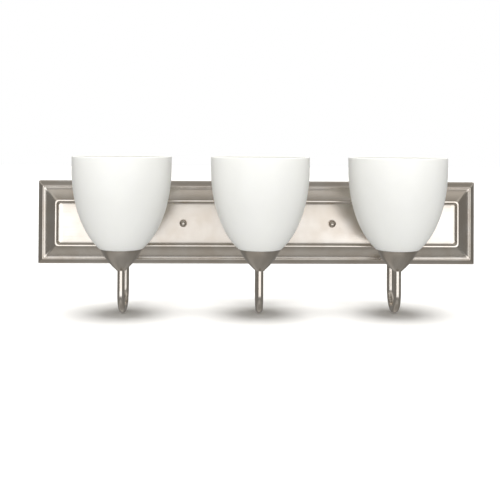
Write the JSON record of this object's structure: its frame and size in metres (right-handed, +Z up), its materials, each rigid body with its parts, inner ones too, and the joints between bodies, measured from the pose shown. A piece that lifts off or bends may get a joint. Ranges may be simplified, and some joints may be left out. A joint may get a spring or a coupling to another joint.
{
  "type": "vanity light bar",
  "caption": "Wall light for over a mirror: moulded satin nickel backplate with bent tube arms, cone cups and opal bell shades that open upwards.",
  "frame": {"origin": "middle of the mounting strap's back face, on the wall plane", "axes": "+X along the bar to the viewer's right, +Y into the wall, +Z up"},
  "size_m": [0.61, 0.1686, 0.205],
  "materials": {
    "satin_nickel": "satin nickel plate, fine brushed grain",
    "zinc_steel": "bright zinc plated steel",
    "opal_glass": "white opal glass, acid-etched to a soft satin",
    "lamp_glass": "white frosted glass",
    "lamp_cap_metal": "rolled nickel plate",
    "lamp_insulator": "black glass insulator",
    "porcelain": "white glazed porcelain",
    "ring_plastic": "grey moulded phenolic",
    "brass": "rolled brass",
    "black_pvc": "black lead insulation",
    "white_pvc": "white lead insulation",
    "green_pvc": "green lead insulation",
    "green_screw": "green dyed zinc plate",
    "connector_plastic": "moulded orange plastic"
  },
  "bodies": {
    "fixture": {"backplate": "satin_nickel", "mounting_strap": "zinc_steel", "mounting_studs": "zinc_steel", "stud_nuts": "zinc_steel", "cap_nuts": "satin_nickel", "arm_washers": "zinc_steel", "arm_nuts": "zinc_steel", "cup_nuts": "zinc_steel", "holder_screws": "zinc_steel", "ground_screw": "green_screw", "ground_lead": "green_pvc", "wire_connectors": "connector_plastic", "arm_tube_left": "satin_nickel", "arm_tube_middle": "satin_nickel", "arm_tube_right": "satin_nickel", "arm_collar_left": "satin_nickel", "arm_collar_middle": "satin_nickel", "arm_collar_right": "satin_nickel", "socket_cup_left": "satin_nickel", "socket_cup_middle": "satin_nickel", "socket_cup_right": "satin_nickel", "holder_bracket_left": "zinc_steel", "holder_bracket_middle": "zinc_steel", "holder_bracket_right": "zinc_steel", "lampholder_left": "porcelain", "lampholder_middle": "porcelain", "lampholder_right": "porcelain", "screw_shell_left": "brass", "screw_shell_middle": "brass", "screw_shell_right": "brass", "centre_contact_left": "brass", "centre_contact_middle": "brass", "centre_contact_right": "brass", "shade_left": "opal_glass", "shade_middle": "opal_glass", "shade_right": "opal_glass", "shade_ring_left": "ring_plastic", "shade_ring_middle": "ring_plastic", "shade_ring_right": "ring_plastic", "black_lead_left": "black_pvc", "black_lead_middle": "black_pvc", "black_lead_right": "black_pvc", "white_lead_left": "white_pvc", "white_lead_middle": "white_pvc", "white_lead_right": "white_pvc"},
    "lamp_left": {"lamp_bulb_left": "lamp_glass", "lamp_cap_left": "lamp_cap_metal", "lamp_tip_left": "lamp_insulator"},
    "lamp_middle": {"lamp_bulb_middle": "lamp_glass", "lamp_cap_middle": "lamp_cap_metal", "lamp_tip_middle": "lamp_insulator"},
    "lamp_right": {"lamp_bulb_right": "lamp_glass", "lamp_cap_right": "lamp_cap_metal", "lamp_tip_right": "lamp_insulator"}
  },
  "joints": [
    {"name": "lamp_left_unscrew", "type": "slide", "parent": "fixture", "child": "lamp_left", "axis": [0, 0, 1], "range_m": [0, 0.0155]},
    {"name": "lamp_middle_unscrew", "type": "slide", "parent": "fixture", "child": "lamp_middle", "axis": [0, 0, 1], "range_m": [0, 0.0155]},
    {"name": "lamp_right_unscrew", "type": "slide", "parent": "fixture", "child": "lamp_right", "axis": [0, 0, 1], "range_m": [0, 0.0155]}
  ]
}
